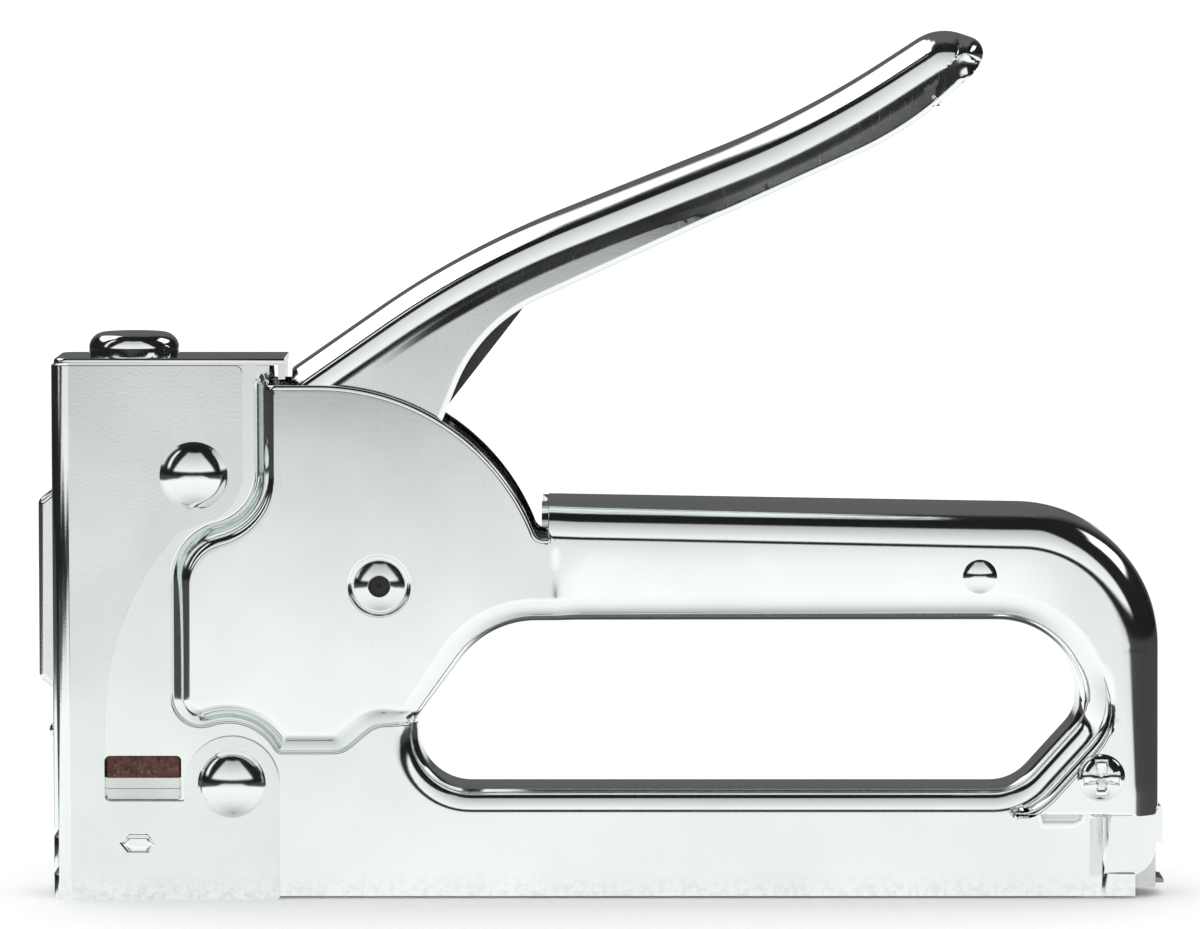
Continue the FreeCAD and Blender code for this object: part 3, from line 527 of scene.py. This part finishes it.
def shells():
    """Both body shells: flat nose and magazine band, drawn body, grip and column, and the rolled rim."""
    mouth = path(MOUTH)
    front = path(FRONT, step=0.3)
    grip = path(GRIP)
    foot = path(FOOT)
    heel = path(HEEL)
    tail = path(TAIL)
    side = path(SIDE)
    outline = np.concatenate((mouth[:-1], front[:-1], grip[:-1], tail[:-1], path(PLATE)))
    drawn = np.concatenate(
        (mouth[:-1], front[:-1], grip[:-1], tail[:-1], heel[::-1], ACROSS_OPENING, foot[::-1]))

    def height(p):
        top = crest(p)
        gap, width = nearest(p, foot)
        rise = 1 - (1 - np.clip(gap / width, 0, 1)) ** 1.6
        away, step = nearest(p, heel)
        rise = np.minimum(rise, quarter(away / step))
        within = inside(p, drawn) | (nearest(p, drawn, True)[0] < 0.02)
        base = np.where(within, FLAT + (top - FLAT) * rise, FLAT) - crease(gap)
        drop = np.zeros(len(p))
        for line, closed, steep in (
            (OPENING_LINE, True, 1.0), (grip, False, 1.2), (mouth, False, 0.8), (front, False, 0.8), (tail, False, 0.8),
        ):
            gap, width = nearest(p, line, closed)
            beyond = (line is grip) & (p[:, 0] < GRIP[0][0] - 0.01)
            drop = np.maximum(drop, np.where(beyond, 0, width * steep * (1 - quarter(gap / width))))
        gap, width = nearest(p, side)
        bevel = np.where(p[:, 1] < 12.2, 0.305 * np.maximum(width - gap, 0), 0)
        return base - np.maximum(drop, bevel)

    sheet = Sheet(outline, height, SHEET - 0.05)
    sheet.holes = [OPENING_LINE, path(WINDOW, True)]
    sheet.ring(OPENING_LINE, True, 1, ROUNDS)
    sheet.ring(grip, False, 1, ROUNDS)
    sheet.ring(mouth, False, 1, (0.1, 0.3, 0.6, 1.0, 1.6))
    sheet.ring(front, False, 1, (0.2, 0.5, 1.0, 1.6))
    sheet.ring(foot, False, -1, ROUNDS)
    sheet.ring(heel, False, -1, (0.2, 0.5, 1.0, 2.0))
    sheet.ring(side, False, 1, (0.15, 0.4, 0.7, 0.95, 1.05, 1.3))
    sheet.ring(tail, False, 1, (0.2, 0.5, 1.0, 2.0))
    sheet.rings += [r for r in beside(foot, (0, 0.09, 0.18, 0.3, 0.45))]
    corner = OPENING_LINE[(OPENING_LINE[:, 0] > 118) & (OPENING_LINE[:, 1] < 38)]
    corner = np.stack((corner[:, 0], corner[:, 1], np.ones(len(corner))), 1)
    sheet.ring(corner, False, 1, np.arange(RIM - 0.3, RIM + 2.0, 0.17))
    sheet.rings += [circle(PIVOT, r) for r in (3.4, 3.8, 3.95, 4.1, 4.25, 4.4, 4.55, 4.9)]
    sheet.rings += [np.stack((np.full(24, u), np.linspace(41.5, 51.0, 24)), 1) for u in np.arange(70.0, 72.6, 0.25)]
    sheet.walls = [(OPENING_LINE, True, 1, 0.02), (grip[grip[:, 1] > 12.3], False, 1, 0.02)]
    pip_line = path(PIP, True, 0.3)
    pip = Sheet(pip_line, lambda p: FLAT + 0.5 * quarter(nearest(p, pip_line, True)[0] / 0.5), 0.3, 0.4)
    halves = [sheet.build(), pip.build()]
    mesh_piece("right_shell_drawn", halves, "chrome_steel", "housing", "right_shell")
    mesh_piece("left_shell_drawn", [mirrored(h) for h in halves], "chrome_steel", "housing", "left_shell")


# ---- lever -----------------------------------------------------------------------------------------------
BACK = [
    (33.9, 75.0, 0, 5.9), (58.2, 91.9, 130, 5.9), (106.4, 111.15, 135, 5.9), (125.2, 123.4, 7, 5.9),
    (133.0, 120.7, 2.4, 4.8), (130.9, 117.98, 0, 4.0),
]
BELLY = [
    (130.9, 117.98, 0, 0.9), (130.3, 117.2, 0.9, 0.9), (120.4, 108.5, 50, 0.9), (60.6, 81.3, 22, 0.9),
    (53.0, 62.5, 6, 0.9), (54.4, 36.9, 7.9, 0.9), (38.4, 36.9, 7.9, 0.9), (34.0, 73.4, 1.2, 0.9),
    (33.9, 75.0, 0, 0.9),
]
LEVER_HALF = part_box("lever_shell")[1].y / MM
CROWN = ((0, 84), (0.06, 66), (0.36, 50), (0.52, 27), (0.9, 3), (1, 0))


def lever_section():
    """Rise of the lever's rounded back with the share of its width: the tilt given by CROWN, added up."""
    share = np.linspace(0, 1, 801)
    tilt = np.radians(np.interp(share, [c[0] for c in CROWN], [c[1] for c in CROWN]))
    slope = np.tan(tilt)
    rise = np.concatenate(([0], np.cumsum((slope[1:] + slope[:-1]) / 2) * (share[1] - share[0])))
    return share, rise


def lever():
    """The squeeze lever: a channel with a broad round back, closed at the tip, and two cheeks down to the pivot."""
    back = path(BACK)
    belly = path(BELLY)
    outline = np.concatenate((back[:-1], belly[:-1]))
    share, rise = lever_section()

    def height(p):
        gap, width = nearest(p, back)
        below, edge = nearest(p, belly)
        band = 0.9 + 5.0 * steps(80.0, 122.0, p[:, 0])
        lean = 0.062 * np.clip(width + band - gap, 0, band) * steps(44.0, 60.0, p[:, 0])
        lean += (0.008 + 0.018 * steps(78.0, 104.0, p[:, 0])) * np.minimum(below, 12.0)
        tall = LEVER_HALF - width * (rise[-1] - np.interp(gap / width, share, rise)) - lean
        return np.maximum(tall - 0.35 * (1 - quarter(below / edge)), 0.3)

    sheet = Sheet(outline, height, 1.1, 1.8)
    sheet.ring(back, False, 1, (0.015, 0.04, 0.08, 0.14, 0.21, 0.29, 0.36, 0.42, 0.47, 0.52, 0.6, 0.7, 0.8, 0.9, 1.0, 1.15))
    sheet.ring(belly, False, 1, (0.1, 0.25, 0.5, 1.0, 2.0))
    under = back.copy()
    under[:, 2] += 0.9 + 5.0 * steps(80.0, 122.0, back[:, 0])
    sheet.ring(under, False, 1, (0.9, 0.95, 1.0, 1.05))
    sheet.rings[-4:] = [r[nearest(r, belly)[0] > 0.6] for r in sheet.rings[-4:]]
    sheet.rings.append(spots(123.0, 134.0, 113.0, 125.0, 0.35))
    sheet.walls = [(back, False, 1, 0.0)]
    half = sheet.build()
    mesh_piece("lever_drawn", [half, mirrored(half)], "chrome_steel", "lever", "lever_shell")


# ---- round heads -----------------------------------------------------------------------------------------
def middle_of(name):
    """A node's middle in the drawing frame, as (U, H)."""
    low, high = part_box(name)
    return ((low.x + high.x) / 2 / MM + MIDDLE, (low.z + high.z) / 2 / MM)


def round_head(place, base, shape, radii, count=72):
    """A round head on the right side: a height over polar rings, down to its base at the last ring."""
    grid = [circle(place, r, count) for r in radii]
    flat = np.concatenate(grid)
    tiny = 0.01

    def height(p):
        return base + shape(p[:, 0] - place[0], p[:, 1] - place[1])

    slope_u = (height(flat + (tiny, 0)) - height(flat - (tiny, 0))) / (2 * tiny)
    slope_h = (height(flat + (0, tiny)) - height(flat - (0, tiny))) / (2 * tiny)
    normals = np.stack((-slope_u, np.ones(len(flat)), -slope_h), 1)
    normals /= np.linalg.norm(normals, axis=1)[:, None]
    points = np.stack((flat[:, 0], height(flat), flat[:, 1]), 1)
    faces = [tuple(range(count))[::-1]]
    for k in range(len(radii) - 1):
        for j in range(count):
            a, b = k * count + j, k * count + (j + 1) % count
            faces.append((a, a + count, b + count, b))
    p = points[list(faces[1][:3])]
    if np.cross(p[1] - p[0], p[2] - p[0])[1] < 0:
        faces = [f[::-1] for f in faces]
    return points, normals, faces


def cap(reach, radius, height):
    """Height of a round cap over its base, by the distance from its middle."""
    ball = (radius**2 + height**2) / (2 * height)
    return np.sqrt(np.maximum(ball**2 - np.minimum(reach, radius) ** 2, 0)) - ball + height


PIN_RADIUS, PIN_HEIGHT, PIN_BORE = 3.6, 1.35, 1.5
SCREW_RADIUS, SCREW_HEIGHT = 3.4, 1.9
SCREW_END_RINGS = (0.3, 0.7, 1.1, 1.5, 1.75, 1.9, 1.98)


def pin_end(du, dh):
    """The pivot pin's end: a round cap with a bore in it."""
    reach = np.hypot(du, dh)
    rise = cap(reach, PIN_RADIUS, PIN_HEIGHT)
    bore = 1 - steps(PIN_BORE - 0.12, PIN_BORE + 0.08, reach)
    return rise * (1 - bore) - 0.3 * bore


def socket_floor(du, dh):
    """The floor of the pin's bore, cupped towards a small centre mark; it takes the dark arm steel as painted shade."""
    reach = np.hypot(du, dh)
    return 0.12 - 0.1 * reach + 0.22 * np.exp(-((reach / 0.32) ** 2))


def cross_head(du, dh):
    """The screw's round head with a cross recess: four flared arms that slope in to a deep middle, and a skirt."""
    reach = np.hypot(du, dh)
    rise = cap(reach, SCREW_RADIUS, SCREW_HEIGHT)
    arm = np.minimum(np.abs(du), np.abs(dh))
    along = np.maximum(np.abs(du), np.abs(dh))
    wide = 0.4 + 0.2 * along
    slot = (1 - steps(wide - 0.16, wide + 0.1, arm)) * (1 - steps(2.4, 2.65, along))
    deep = 1.75 - 0.6 * along
    middle = (1 - steps(0.7, 1.15, reach)) * 1.3
    return rise - np.maximum(slot * deep, middle) - 0.5 * steps(SCREW_RADIUS, SCREW_RADIUS + 0.03, reach)


def heads():
    """The pivot pin's two ends with painted shade in their bores, and the rear screw's head."""
    pivot, screw = middle_of("pivot_pin"), middle_of("rear_screw")
    pin_base = BULGE - 0.34
    rings = [0.15 + 0.15 * k for k in range(23)] + [PIN_RADIUS]
    rings = sorted(rings + [1.4, 1.47, 1.53, 1.6])
    end = round_head(pivot, pin_base, pin_end, rings)
    mesh_piece("pivot_pin_ends", [end, mirrored(end)], "rivet_steel", "housing", "pivot_pin")
    # painted shade: a disc in the dark arm steel is set in each bore of the pivot pin to darken the hollow
    painted_shade_disc = round_head(pivot, pin_base, socket_floor, [0.1 + 0.1 * k for k in range(14)] + [1.44], 48)
    mesh_piece("pivot_pin_bores_painted_shade", [painted_shade_disc, mirrored(painted_shade_disc)], "arm_steel", "housing")
    grid = [0.1 + 0.1 * k for k in range(33)] + [SCREW_RADIUS, SCREW_RADIUS + 0.03]
    head = round_head(screw, BULGE - 0.02, cross_head, grid, 120)
    nut_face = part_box("rear_nut")[1].y / MM
    end = round_head(screw, nut_face - 0.6, lambda du, dh: cap(np.hypot(du, dh), 1.98, 0.45), SCREW_END_RINGS, 36)
    mesh_piece("rear_screw_head", [mirrored(head), end], "rivet_steel", "housing", "rear_screw")


# ---- kept CAD pieces -------------------------------------------------------------------------------------
def soften(name, radius=0.12, angle=35):
    """Round the sharp edges of a CAD piece, as a press or a tumbler leaves them."""
    made = NODES[name]
    weld = made.modifiers.new("weld", "WELD")
    weld.merge_threshold = 0.000005
    bevel = made.modifiers.new("round", "BEVEL")
    bevel.width = radius * MM
    bevel.segments = 2
    bevel.limit_method = "ANGLE"
    bevel.angle_limit = math.radians(angle)
    bevel.harden_normals = True


# ---- studio ----------------------------------------------------------------------------------------------
def camera():
    """A long lens square to the left side, a little above it."""
    data = bpy.data.cameras.new("camera")
    data.lens = 200
    data.sensor_width = 36
    data.clip_start = 0.01
    data.clip_end = 50
    made = bpy.data.objects.new("camera", data)
    bpy.context.scene.collection.objects.link(made)
    rise = math.radians(4.5)
    reach = 0.1704 * data.lens / data.sensor_width
    back = Vector((0, -math.cos(rise), math.sin(rise)))
    made.location = Vector((-0.0003, 0, 0.0612)) + back * reach
    made.rotation_mode = "QUATERNION"
    made.rotation_quaternion = (-back).to_track_quat("-Z", "Y")
    bpy.context.scene.camera = made


def floor():
    """A plain pale floor; the plating mirrors the studio instead of it."""
    radius, sides = 0.95, 96
    turns = [2 * math.pi * k / sides for k in range(sides)]
    mesh = bpy.data.meshes.new("floor")
    mesh.from_pydata([(radius * math.cos(a), radius * math.sin(a), 0) for a in turns], [], [tuple(range(sides))])
    made = bpy.data.objects.new("floor", mesh)
    bpy.context.scene.collection.objects.link(made)
    made.visible_glossy = False
    material = bpy.data.materials.new("floor_paint")
    material.use_nodes = True
    shader = material.node_tree.nodes["Principled BSDF"]
    shader.inputs["Base Color"].default_value = (0.93, 0.94, 0.93, 1)
    shader.inputs["Roughness"].default_value = 0.9
    mesh.materials.append(material)


BENCH = ((-90, 0.5), (-76, 0.66), (-62, 0.85), (-45, 1.0), (-14, 1.08), (-8, 1.0), (-5.5, 0.86), (-4, 0.78),
         (-2.2, 0.62), (-0.8, 0.05), (0, 0.01))


def world():
    """Even light on dull surfaces; for the plating to mirror, a pale bench, a dark horizon and studio lamps."""
    made = bpy.data.worlds.new("studio")
    bpy.context.scene.world = made
    made.use_nodes = True
    g = Graph(made.node_tree)
    out = g.add("ShaderNodeOutputWorld")
    split = g.add("ShaderNodeSeparateXYZ", Vector=g.add("ShaderNodeTexCoord").outputs["Generated"])
    x, y, z = split.outputs
    degree = 180 / math.pi
    rise = g.math(g.math(z, 0.0, "ARCSINE"), degree, "MULTIPLY")
    turn = g.math(g.math(x, g.math(y, -1.0, "MULTIPLY"), "ARCTAN2"), degree, "MULTIPLY")
    away = g.math(turn, 0.0, "ABSOLUTE")

    def lamp(*factors):
        """A lamp's brightness from its masks and levels."""
        result = factors[0]
        for factor in factors[1:]:
            result = g.math(result, factor, "MULTIPLY")
        return result

    reach = g.math(away, g.math(rise, 0.5, "MULTIPLY"))
    front = lamp(g.band(rise, 9, 62, 2), g.remap(reach, 60, 66, 1, 0), g.remap(rise, 12, 60, 1.0, 0.5))
    left = lamp(g.band(turn, -150, -100, 3), g.band(rise, 34, 63, 2), 1.8)
    strip = lamp(g.band(turn, -81, -72, 1.5), g.band(rise, 14, 56, 3), 1.1)
    right = lamp(g.band(turn, 97, 128, 3), g.band(rise, 28, 50, 2), 1.8)
    back = lamp(g.remap(away, 140, 160, 0, 1), g.band(rise, 0, 70, 3), 0.1)
    ramp = g.add("ShaderNodeValToRGB", Fac=g.remap(rise, -90, 0, 0, 1))
    stops = ramp.color_ramp.elements
    while len(stops) > 1:
        stops.remove(stops[0])
    for i, (degrees, level) in enumerate(BENCH):
        stop = stops[0] if i == 0 else stops.new(1 + degrees / 90)
        stop.position = 1 + degrees / 90
        stop.color = (level, level, level, 1)
    edge = g.total(rise, g.remap(away, 16, 44, 0, 10), g.remap(away, 46, 110, 0, 5))
    shade = g.math(g.remap(edge, 0, 2.5, 0, 0.94), g.remap(away, 152, 160, 1, 0), "MULTIPLY")
    below_back = lamp(g.remap(away, 128, 150, 0, 0.93), g.remap(rise, -36, -24, 1, 0))
    bench = lamp(ramp.outputs[0], g.math(1.0, shade, "SUBTRACT"), g.math(1.0, below_back, "SUBTRACT"))
    level = g.total(front, left, right, strip, back, bench, 0.008)
    mirrored_studio = g.add("ShaderNodeBackground", Color=level)
    even = g.add("ShaderNodeBackground")
    even.inputs["Color"].default_value = (1, 1, 1, 1)
    even.inputs["Strength"].default_value = 1.2
    light_path = g.add("ShaderNodeLightPath")
    mix = g.add("ShaderNodeMixShader")
    g.put(light_path.outputs["Is Glossy Ray"], mix.inputs[0])
    g.put(even.outputs[0], mix.inputs[1])
    g.put(mirrored_studio.outputs[0], mix.inputs[2])
    g.put(mix.outputs[0], out.inputs["Surface"])


def key_light():
    """One broad soft light overhead for the floor and the dull pieces; the plating doesn't mirror it."""
    data = bpy.data.lights.new("key", "AREA")
    data.shape = "RECTANGLE"
    data.size = 2.4
    data.size_y = 2.4
    data.energy = 4
    made = bpy.data.objects.new("key", data)
    bpy.context.scene.collection.objects.link(made)
    made.location = (-0.3, -0.7, 1.8)
    made.rotation_euler = (Vector((0, 0, 0.03)) - made.location).to_track_quat("-Z", "Y").to_euler()
    made.visible_glossy = False
    made.visible_camera = False


# ---- build -----------------------------------------------------------------------------------------------
SOFTENED = ("nose_cover", "top_cap", "rear_nut")


def main():
    bpy.context.scene.view_settings.view_transform = "Standard"
    slots = {p["node"]: p["material_slot"] for p in frame["record"]["subparts"]}
    for name, node in NODES.items():
        node.data.materials.clear()
        node.data.materials.append(MATERIALS["nose_chrome" if name == "nose_cover" else slots[name]])
    for name in SOFTENED:
        soften(name)
    shells()
    lever()
    heads()
    camera()
    floor()
    world()
    key_light()


main()
